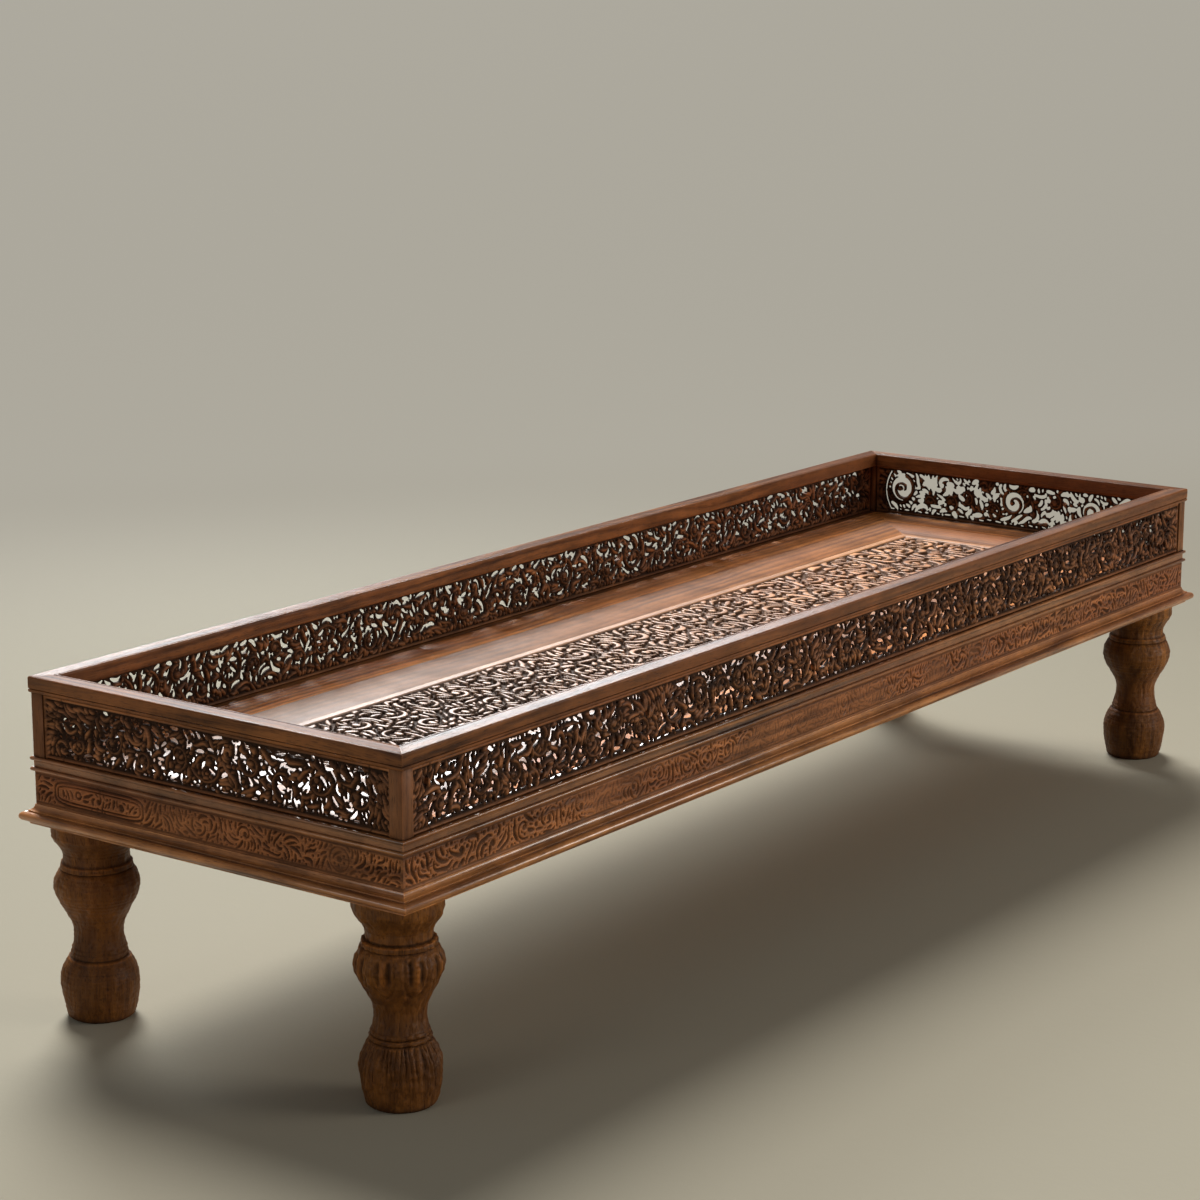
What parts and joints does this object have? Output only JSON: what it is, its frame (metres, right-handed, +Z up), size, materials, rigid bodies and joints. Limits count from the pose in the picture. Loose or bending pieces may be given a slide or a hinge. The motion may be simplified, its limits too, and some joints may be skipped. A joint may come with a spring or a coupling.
{
  "type": "takht platform bed",
  "caption": "Low carved wooden platform bed on turned legs, with a moulded base, a carved deck panel and a low pierced gallery all round.",
  "frame": {"origin": "on the ground, under the middle of the takht", "axes": "+X along the long side, -Y towards the front, +Z up"},
  "size_m": [1.9246, 0.6006, 0.425],
  "materials": {
    "leg_wood": "aged polished hardwood, turned and carved",
    "moulding_wood": "aged polished hardwood, worn nose",
    "frieze_wood": "aged hardwood with low-relief carving",
    "gallery_wood": "aged hardwood, pierced and carved",
    "top_rail_wood": "worn polished hardwood",
    "carved_panel_wood": "aged hardwood, carved field",
    "inner_board_wood": "lighter plain boards, worn polish",
    "outer_board_wood": "redder plain boards, worn polish",
    "bearer_wood": "unfinished sawn wood",
    "peg_wood": "unfinished hardwood pegs",
    "screw_steel": "plain steel"
  },
  "bodies": {
    "root": {"apron_back": "frieze_wood", "apron_front": "frieze_wood", "apron_left": "frieze_wood", "apron_right": "frieze_wood", "base_rail_back": "moulding_wood", "base_rail_front": "moulding_wood", "base_rail_left": "moulding_wood", "base_rail_right": "moulding_wood", "cross_bearer_1": "bearer_wood", "cross_bearer_2": "bearer_wood", "cross_bearer_3": "bearer_wood", "cross_bearer_4": "bearer_wood", "cross_bearer_5": "bearer_wood", "cross_bearer_6": "bearer_wood", "cross_bearer_7": "bearer_wood", "deck_carved_panel": "carved_panel_wood", "deck_inner_board_back": "inner_board_wood", "deck_inner_board_front": "inner_board_wood", "deck_inner_board_left": "inner_board_wood", "deck_inner_board_right": "inner_board_wood", "deck_outer_board_back": "outer_board_wood", "deck_outer_board_front": "outer_board_wood", "deck_outer_board_left": "outer_board_wood", "deck_outer_board_right": "outer_board_wood", "deck_screws": "screw_steel", "end_bearer_left": "bearer_wood", "end_bearer_right": "bearer_wood", "gallery_panel_back": "gallery_wood", "gallery_panel_front": "gallery_wood", "gallery_panel_left": "gallery_wood", "gallery_panel_right": "gallery_wood", "gallery_post_back_left": "gallery_wood", "gallery_post_back_right": "gallery_wood", "gallery_post_front_left": "gallery_wood", "gallery_post_front_right": "gallery_wood", "leg_back_left": "leg_wood", "leg_back_right": "leg_wood", "leg_front_left": "leg_wood", "leg_front_right": "leg_wood", "leg_pegs": "peg_wood", "mid_rail_back": "moulding_wood", "mid_rail_front": "moulding_wood", "mid_rail_left": "moulding_wood", "mid_rail_right": "moulding_wood", "rail_screws": "screw_steel", "top_rail_back": "top_rail_wood", "top_rail_front": "top_rail_wood", "top_rail_left": "top_rail_wood", "top_rail_right": "top_rail_wood"}
  },
  "joints": []
}
